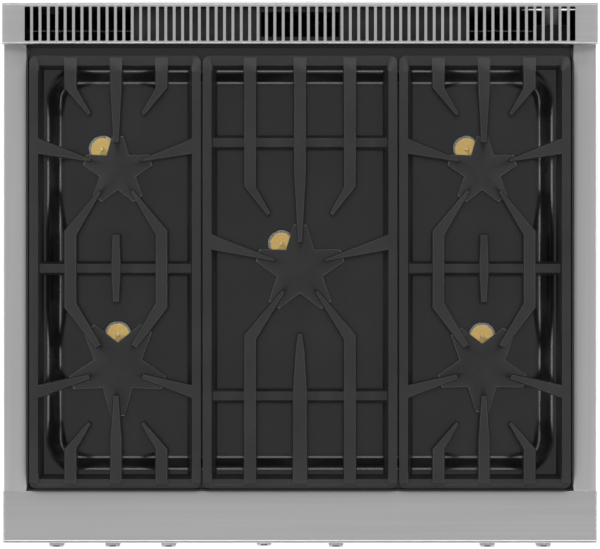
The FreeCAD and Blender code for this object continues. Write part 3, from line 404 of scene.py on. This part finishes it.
# ------------------------------------------------------------ igniters
# A dark plated ring round a small brass dish, with a white ceramic electrode
# standing in its middle.
brass = bare("brass", (0.60, 0.42, 0.15), 0.32, 1.0, 500.0, 0.00004, 0.15)
ring_plate = bare("igniter_ring_plate", (0.20, 0.20, 0.205), 0.2, 1.0, 500.0, 0.00002, 0.2)
ceramic = bare("ceramic", (0.42, 0.36, 0.24), 0.35, 0.0, 900.0, 0.00003, 0.1)
piece = mesh_copy("burner_igniters")
dish_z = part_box("burner_igniters")[1][2] - 0.008
pin_area = 0.00005
for face in piece.data.polygons:
    on_dish = abs(face.center.z - dish_z) < 0.0003 and face.normal.z > 0.5
    on_pin = face.center.z > dish_z + 0.002 or (face.area < pin_area and face.center.z > dish_z)
    face.material_index = 1 if on_dish else 2 if on_pin else 0
soften(piece, 0.0005)
for material in (ring_plate, brass, ceramic):
    piece.data.materials.append(material)
stand_in(piece, "burner_igniters")

# ------------------------------------------------------------ knobs
# Satin plated castings: a skirt, a tapered body and a grip bar with a black pointer line down its middle,
# over ring bezels on the panel. The line is also painted reflection: it stands for the dark middle of the
# grip's top seen from above.
satin = bare("knob_satin", (0.40, 0.40, 0.41), 0.28, 1.0, 500.0, 0.00002, 0.08)
black_line_and_painted_reflection = bare("knob_black_line_and_painted_reflection", (0.010, 0.010, 0.010), 0.4, 0.0, 600.0, 0.00002, 0.2)
line_half = 0.0042
line_back = 0.016
tip_deep = 0.012
tip_wider = 1.22
knob_names = [n for n in nodes if n.startswith("knob_") and n != "knob_bezels"]
for name in knob_names:
    piece = mesh_copy(name)
    low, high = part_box(name)
    middle = (low[0] + high[0]) / 2
    choose(piece, lambda co: co.y < low[1] + tip_deep)
    bpy.ops.transform.resize(value=(tip_wider, 1.0, 1.0), center_override=(middle, 0.0, 0.0))
    for side in (-line_half, line_half):
        choose(piece, lambda co: True)
        bpy.ops.mesh.bisect(plane_co=(middle + side, 0, 0), plane_no=(1, 0, 0))
    bpy.ops.object.mode_set(mode="OBJECT")
    # Faces down the middle of the grip's tip take the black line: a pointer, and the painted dark reflection
    # of the grip's top.
    for face in piece.data.polygons:
        on_line = abs(face.center.x - middle) < line_half and abs(face.normal.x) < 0.5
        face.material_index = 1 if on_line and face.center.y < low[1] + line_back else 0
    soften(piece, 0.0008, 2, 32.0)
    piece.data.materials.append(satin)
    piece.data.materials.append(black_line_and_painted_reflection)
    stand_in(piece, name)
bezel = bare("bezel_satin", (0.45, 0.45, 0.46), 0.25, 1.0, 500.0, 0.00002, 0.08)
skin("knob_bezels", bezel, 0.0005)

# ------------------------------------------------------------ dial marks
# Short black enamelled strips let into the panel round each bezel: a sweep of
# settings for the oven's knobs, and off, high and low for the burners.
def block(size, centre, turn=0.0):
    """A new box of a size round a centre, turned about the front-to-back axis, left selected."""
    bpy.ops.object.select_all(action="DESELECT")
    bpy.ops.mesh.primitive_cube_add(size=1.0, location=centre, rotation=(0.0, turn, 0.0), scale=size)
    bpy.ops.object.transform_apply(location=True, rotation=True, scale=True)
    return bpy.context.object


def joined(pieces, name):
    """Several objects made one."""
    bpy.ops.object.select_all(action="DESELECT")
    for one in pieces:
        one.select_set(True)
    bpy.context.view_layer.objects.active = pieces[0]
    bpy.ops.object.join()
    pieces[0].name = name
    return pieces[0]


def add_on(piece, body, material, width, segments=2):
    """Softens a new piece, gives it its finish and lets it ride on a body."""
    soften(piece, width, segments)
    piece.data.materials.append(material)
    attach(piece, body)


panel_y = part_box("control_panel")[0][1]
mark_r, mark_long, mark_wide, mark_thick = 0.0355, 0.005, 0.0011, 0.0004
oven_turns = [math.radians(30.0 * step) for step in range(10)]
burner_turns = [math.radians(turn) for turn in (0.0, 90.0, 210.0)]
for name in knob_names:
    low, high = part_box(name)
    middle, knob_z = (low[0] + high[0]) / 2, (low[2] + high[2]) / 2
    marks = []
    for turn in oven_turns if "oven" in name else [-t for t in burner_turns]:
        centre = (middle + mark_r * math.sin(turn), panel_y - mark_thick / 2 + 0.0001,
                  knob_z + mark_r * math.cos(turn))
        marks.append(block((mark_wide, mark_thick, mark_long), centre, turn))
    add_on(joined(marks, "marks_" + name), "chassis", black_line_and_painted_reflection, 0.0001)

# ------------------------------------------------------------ door
# Polished bar handle, dark tinted panes and a speckled enamel liner, on two
# hinge arms.
steel_bar = brushed("stainless_bar", 0, 0.60, 0.18)
skin("door_handle", steel_bar, 0.0015)
blue_enamel = bare("blue_enamel", (0.012, 0.015, 0.028), 0.2, 0.0, 300.0, 0.00003, 0.4)
glass = bare("door_pane", (0.006, 0.006, 0.007), 0.06, 0.0, 40.0, 0.000005, 0.2)
zinc = brushed("zinc_sheet", 1, 0.36, 0.42)
skin("door_inner_liner", blue_enamel, 0.0005)
skin("door_glass", glass, 0.0004)
skin("door_hinge_arms", zinc, 0.0005)


def ring_frame(name, half_x, z0, z1, y, band, thick):
    """An upright frame: an inset panel without its middle, given a thickness towards the front."""
    bpy.ops.object.select_all(action="DESELECT")
    bpy.ops.mesh.primitive_plane_add(size=1.0, location=(0.0, 0.0, 0.0), rotation=(math.pi / 2, 0.0, 0.0))
    frame_piece = bpy.context.object
    frame_piece.scale = (2 * half_x, z1 - z0, 1.0)
    frame_piece.location = (0.0, y, (z0 + z1) / 2)
    bpy.ops.object.transform_apply(location=True, rotation=True, scale=True)
    bpy.ops.object.mode_set(mode="EDIT")
    bpy.ops.mesh.select_all(action="SELECT")
    bpy.ops.mesh.bevel(offset=band * 0.7, segments=6, affect="VERTICES")
    bpy.ops.mesh.select_all(action="SELECT")
    bpy.ops.mesh.inset(thickness=band, use_even_offset=True)
    bpy.ops.mesh.delete(type="FACE")
    bpy.ops.mesh.select_all(action="SELECT")
    bpy.ops.mesh.extrude_region_move(TRANSFORM_OT_translate={"value": (0.0, -thick, 0.0)})
    bpy.ops.mesh.select_all(action="SELECT")
    bpy.ops.mesh.normals_make_consistent(inside=False)
    bpy.ops.object.mode_set(mode="OBJECT")
    frame_piece.name = name
    return frame_piece


# The pane's black border is a thin surround on the door's face, and a pressed
# bead stands round the window in the liner.
low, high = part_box("door_outer_panel")
door_front, door_rear = low[1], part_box("door_inner_liner")[1][1]
window_z0 = low[2] + 0.175
window_z1 = window_z0 + 0.250
surround = ring_frame("window_surround", 0.226, window_z0 - 0.016, window_z1 + 0.016,
                      door_front + 0.0002, 0.020, 0.0012)
border = bare("window_border", (0.010, 0.010, 0.011), 0.18, 0.0, 200.0, 0.000004, 0.2)
add_on(surround, "oven_door", border, 0.0004)
bead = ring_frame("liner_bead", 0.208, window_z0 - 0.004, window_z1 + 0.004, door_rear + 0.0014,
                  0.012, 0.0016)
add_on(bead, "oven_door", blue_enamel, 0.0006, 3)
pressed = ring_frame("liner_step", 0.276, low[2] + 0.105, high[2] - 0.075, door_rear + 0.0010, 0.006, 0.0012)
add_on(pressed, "oven_door", blue_enamel, 0.0005, 3)

# Turned collars close the ends of the handle's bar.
low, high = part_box("door_handle")
bar_y, bar_z = low[1] + 0.010, (low[2] + high[2]) / 2
collar_r, collar_long, collar_back = 0.0115, 0.012, 0.004
for side, end in ((-1, low[0]), (1, high[0])):
    bpy.ops.object.select_all(action="DESELECT")
    bpy.ops.mesh.primitive_cylinder_add(vertices=48, radius=collar_r, depth=collar_long,
                                        rotation=(0.0, math.pi / 2, 0.0),
                                        location=(end - side * collar_back, bar_y, bar_z))
    bpy.ops.object.transform_apply(location=True, rotation=True, scale=True)
    collar = bpy.context.object
    collar.name = "handle_collar_left" if side < 0 else "handle_collar_right"
    choose(collar, lambda co: abs(co.x - end) < 0.003)
    bpy.ops.mesh.inset(thickness=0.0035)
    bpy.ops.transform.translate(value=(-side * 0.0008, 0.0, 0.0))
    bpy.ops.object.mode_set(mode="OBJECT")
    add_on(collar, "oven_door", satin, 0.0012, 3)
skin("hinge_receivers", zinc, 0.0005)

# ------------------------------------------------------------ chassis sheets
# Galvanised sheet: rear panel, base pan, front frame and flue, with zinc plated
# screws and legs.
for name in ("rear_panel", "rear_screws", "base_pan", "front_frame", "leg_front_left",
             "leg_front_right", "leg_rear_left", "leg_rear_right"):
    skin(name, zinc, 0.0006)

# Two banks of pressed louvres let air through the rear panel, and a rolled rib
# stiffens it.
panel_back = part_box("rear_panel")[1][1]
louvre_w, louvre_h, louvre_t = 0.150, 0.011, 0.0019
for side in (-1, 1):
    bank = [block((louvre_w, louvre_t, louvre_h),
                  (side * 0.170, panel_back + louvre_t / 2 - 0.0001, 0.640 + 0.020 * row))
            for row in range(7)]
    add_on(joined(bank, "louvres_left" if side < 0 else "louvres_right"), "chassis", zinc,
           0.0016, 4)
rib = ring_frame("rear_rib", 0.320, 0.190, 0.560, panel_back + 0.0014, 0.010, 0.0015)
add_on(rib, "chassis", zinc, 0.0006, 3)

# ------------------------------------------------------------ flue
# A galvanised duct behind the oven, with a broad collar under the slotted trim, coloured near black as
# painted shade: the dark seen through the trim's slots.
# Near black colour on the flue: painted shade behind the trim's slots.
flue_shade_tone = bare("flue_painted_shade", (0.035, 0.035, 0.037), 0.5, 0.3, 60.0, 0.00005, 0.5)
skin("oven_flue", flue_shade_tone, 0.0006)

# ------------------------------------------------------------ gas train
# A zinc plated manifold and tubes, cast valves in dull brass, and a regulator coloured near black as painted
# shade, the dark behind the trim's slots.
dull_brass = bare("dull_brass", (0.16, 0.13, 0.09), 0.5, 0.8, 500.0, 0.00004, 0.15)
for name in ("supply_tubes", "gas_manifold"):
    skin(name, zinc, 0.0004)
for name in [n for n in nodes if n.startswith("valve_")] :
    skin(name, dull_brass, 0.0004)
# The regulator's near black colour is painted shade where it shows through the trim's slots.
regulator_shade_tone = bare("painted_shade_regulator", (0.03, 0.03, 0.032), 0.5, 0.0, 500.0, 0.00004, 0.2)
skin("pressure_regulator", regulator_shade_tone, 0.0006)
plastic = bare("black_plastic", (0.02, 0.02, 0.02), 0.45, 0.0, 900.0, 0.00004, 0.2)
for name in ("control_electrics", "power_cord_gland"):
    skin(name, plastic, 0.0006)

# ------------------------------------------------------------ oven
# A speckled enamel cavity in a glass wool blanket, with plated wire racks, tube
# burners, a fan behind its grille and two lamps.
for name in ("oven_cavity", "oven_floor"):
    skin(name, blue_enamel, 0.0006)
chrome = bare("chrome", (0.70, 0.70, 0.71), 0.16, 1.0, 300.0, 0.00001, 0.06)
for name in ("rack_guides", "oven_rack_lower", "oven_rack_upper"):
    skin(name, chrome, 0.0003)
for name in ("oven_burners", "fan_motor", "convection_fan", "fan_baffle"):
    skin(name, zinc, 0.0004)
wool = bare("insulation", (0.62, 0.58, 0.38), 0.95, 0.0, 500.0, 0.0008, 0.2)
skin("oven_insulation", wool, 0.003, 3)
woven = bare("gasket_weave", (0.16, 0.16, 0.16), 0.9, 0.0, 800.0, 0.0004, 0.2)
skin("door_gasket", woven, 0.0008)
lens = bare("lamp_lens", (0.8, 0.78, 0.7), 0.3, 0.0, 300.0, 0.00005, 0.05)
skin("oven_lamps", lens, 0.0006)

# ------------------------------------------------------------ floor
# A white matte sheet under the range, no part of it.
bpy.ops.object.select_all(action="DESELECT")
bpy.ops.mesh.primitive_plane_add(size=60.0, location=(0, 0, 0))
floor = bpy.context.object
floor.name = "floor"
floor_white, floor_shader, floor_wire = finish("floor_white")
coat(floor_shader, floor_wire, Base_Color=(0.93, 0.93, 0.93, 1.0), Roughness=0.9,
     Emission_Color=(1.0, 1.0, 1.0, 1.0), Emission_Strength=0.12)
floor.data.materials.append(floor_white)
